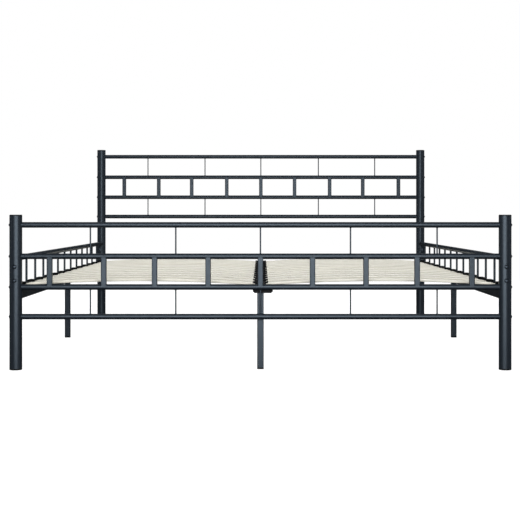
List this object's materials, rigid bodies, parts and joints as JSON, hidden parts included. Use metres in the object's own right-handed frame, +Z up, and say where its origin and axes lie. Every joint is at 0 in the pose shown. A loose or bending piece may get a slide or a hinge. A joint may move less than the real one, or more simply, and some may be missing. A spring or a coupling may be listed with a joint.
{
  "type": "metal bed frame",
  "caption": "Double bed frame of dark coated steel tube with barred head and foot panels, rodded side rails, a centre beam on legs and two columns of sprung slats.",
  "frame": {"origin": "on the floor, in the middle of the frame between the four posts", "axes": "+X to the right seen from the foot end, +Y from the foot panel to the head panel, +Z up"},
  "size_m": [1.674, 2.0896, 0.8475],
  "materials": {
    "powder_coat": "satin powder coat, dark slate grey",
    "black_plastic": "moulded, fine matt grain",
    "bolt_steel": "black oxide",
    "zinc_steel": "zinc plated",
    "plywood": "pale birch plywood, clear sealed"
  },
  "bodies": {
    "root": {"head_post_left": "powder_coat", "head_post_right": "powder_coat", "head_rail_top": "powder_coat", "head_rail_upper": "powder_coat", "head_rail_lower": "powder_coat", "head_rail_bottom": "powder_coat", "head_bars": "powder_coat", "head_wires": "powder_coat", "foot_post_left": "powder_coat", "foot_post_right": "powder_coat", "foot_rail_top": "powder_coat", "foot_rail_upper": "powder_coat", "foot_rail_lower": "powder_coat", "foot_rail_bottom": "powder_coat", "foot_bars": "powder_coat", "foot_wires": "powder_coat", "rail_bolts": "bolt_steel", "side_bolts": "bolt_steel", "threaded_inserts": "bolt_steel", "post_top_plugs": "black_plastic", "post_feet": "black_plastic", "side_tube_left": "powder_coat", "side_tube_right": "powder_coat", "side_beam_left": "powder_coat", "side_beam_right": "powder_coat", "side_rods": "powder_coat", "side_end_plates": "powder_coat", "support_legs": "powder_coat", "leg_studs": "zinc_steel", "leg_feet": "black_plastic", "centre_beam": "powder_coat", "centre_bracket": "black_plastic", "slat_holders_side": "black_plastic", "slat_holders_centre": "black_plastic", "slat_left_01": "plywood", "slat_left_02": "plywood", "slat_left_03": "plywood", "slat_left_04": "plywood", "slat_left_05": "plywood", "slat_left_06": "plywood", "slat_left_07": "plywood", "slat_left_08": "plywood", "slat_left_09": "plywood", "slat_left_10": "plywood", "slat_left_11": "plywood", "slat_left_12": "plywood", "slat_left_13": "plywood", "slat_right_01": "plywood", "slat_right_02": "plywood", "slat_right_03": "plywood", "slat_right_04": "plywood", "slat_right_05": "plywood", "slat_right_06": "plywood", "slat_right_07": "plywood", "slat_right_08": "plywood", "slat_right_09": "plywood", "slat_right_10": "plywood", "slat_right_11": "plywood", "slat_right_12": "plywood", "slat_right_13": "plywood"}
  },
  "joints": []
}
